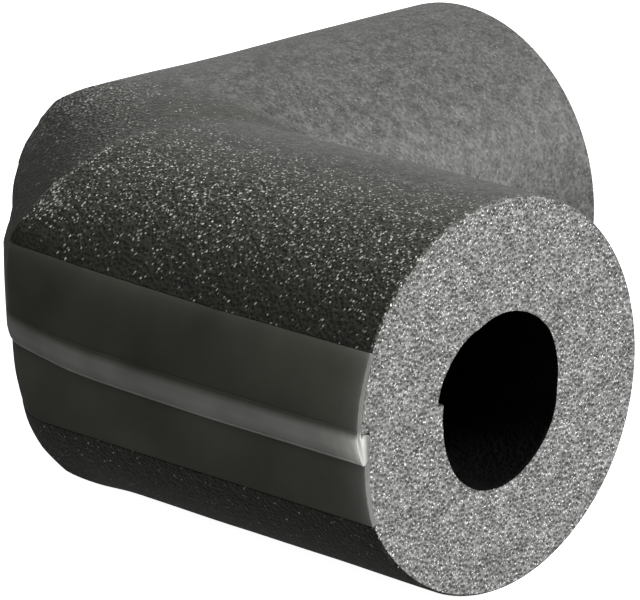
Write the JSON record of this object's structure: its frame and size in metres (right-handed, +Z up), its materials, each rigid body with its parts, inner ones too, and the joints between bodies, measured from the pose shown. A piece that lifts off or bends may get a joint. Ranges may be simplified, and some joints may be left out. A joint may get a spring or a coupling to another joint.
{
  "type": "pipe insulation elbow",
  "caption": "Right-angle mitred elbow of closed-cell foam pipe lagging, slit along its outer side and held shut by a plastic zip strip.",
  "frame": {"origin": "centre of the bounding box's base, on the floor that the elbow lies on", "axes": "+X along one leg to its open end, +Y along the other leg to its open end, +Z up, square to the plane of the bend"},
  "size_m": [0.1302, 0.1282, 0.068],
  "materials": {
    "foam": "matte closed-cell foam, dark grey skin with fine glints, paler and sparkling where it is cut",
    "strip": "smooth satin dark grey plastic"
  },
  "bodies": {
    "root": {"foam_elbow": "foam", "zip_strip_upper": "strip", "zip_strip_lower": "strip"}
  },
  "joints": []
}
